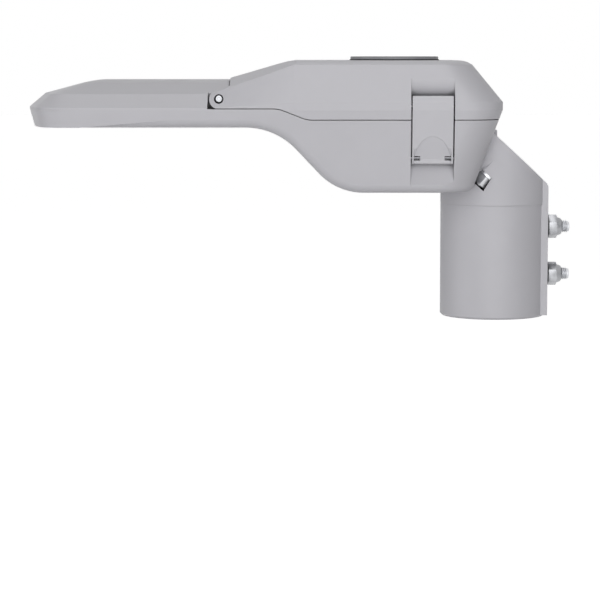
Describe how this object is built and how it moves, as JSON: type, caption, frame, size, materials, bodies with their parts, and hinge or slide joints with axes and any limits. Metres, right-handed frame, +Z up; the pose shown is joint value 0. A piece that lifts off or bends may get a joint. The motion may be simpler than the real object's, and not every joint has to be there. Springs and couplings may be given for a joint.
{
  "type": "led street light head",
  "caption": "Street light head with a flat bevelled light unit, a raised gear compartment under a latched hinged cover and a vertical pole socket.",
  "frame": {"origin": "centre of the pole socket at its mouth", "axes": "+Z up along the pole, +X away from the light unit, the light unit points to -X, +Y to its side"},
  "size_m": [0.4391, 0.186, 0.2111],
  "materials": {
    "casting_grey": "powder coated die casting, satin light grey",
    "latch_grey": "powder coated, satin light grey",
    "black_rubber": "matte silicone rubber",
    "black_plastic": "matte moulded plastic",
    "dark_plastic": "matte moulded plastic",
    "stainless_steel": "bright stainless steel",
    "clear_glass": "clear toughened glass",
    "frame_aluminium": "satin",
    "white_board": "white solder mask on aluminium",
    "chip_yellow": "phosphor yellow",
    "lens_plastic": "clear moulded lens plastic",
    "zinc_steel": "zinc plated sheet",
    "driver_white": "matte moulded plastic",
    "brass_screw": "plain brass"
  },
  "bodies": {
    "housing": {"housing": "casting_grey", "neck": "casting_grey", "glass_seal": "black_rubber", "hinge_screw_left": "stainless_steel", "hinge_screw_right": "stainless_steel", "latch_pin_left": "stainless_steel", "latch_pin_right": "stainless_steel", "neck_studs": "stainless_steel", "neck_washers": "stainless_steel", "neck_nuts": "stainless_steel", "clamp_screws": "stainless_steel", "clamp_washers": "black_rubber", "clamp_nuts": "stainless_steel", "glass": "clear_glass", "glass_frame": "frame_aluminium", "frame_screws": "stainless_steel", "light_board": "white_board", "light_chips": "chip_yellow", "lens_plate_left": "lens_plastic", "lens_plate_right": "lens_plastic", "board_screws": "stainless_steel", "gear_tray": "zinc_steel", "tray_screws": "stainless_steel", "driver": "driver_white", "driver_screws": "stainless_steel", "surge_protector": "dark_plastic", "terminal_block": "driver_white", "cable_gland": "black_plastic", "gland_nut": "black_plastic", "breather": "black_plastic", "earth_screw": "brass_screw"},
    "cover": {"top_cover": "casting_grey", "cover_gasket": "black_rubber", "hinge_bush_left": "black_plastic", "hinge_bush_right": "black_plastic", "keeper_pin_left": "stainless_steel", "keeper_pin_right": "stainless_steel", "deck_cap": "dark_plastic", "deck_cap_seal": "black_rubber", "deck_cap_nut": "dark_plastic"},
    "latch_left": {"latch_lever_left": "latch_grey"},
    "latch_right": {"latch_lever_right": "latch_grey"}
  },
  "joints": [
    {"name": "cover_hinge", "type": "hinge", "parent": "housing", "child": "cover", "pos_m": [-0.2214, 0, 0.1782], "axis": [0, -1, 0], "range_deg": [0, 58]},
    {"name": "latch_hinge_left", "type": "hinge", "parent": "housing", "child": "latch_left", "pos_m": [-0.0548, -0.084, 0.1324], "axis": [1, 0, 0], "range_deg": [0, 85]},
    {"name": "latch_hinge_right", "type": "hinge", "parent": "housing", "child": "latch_right", "pos_m": [-0.0548, 0.084, 0.1324], "axis": [-1, 0, 0], "range_deg": [0, 85]}
  ]
}
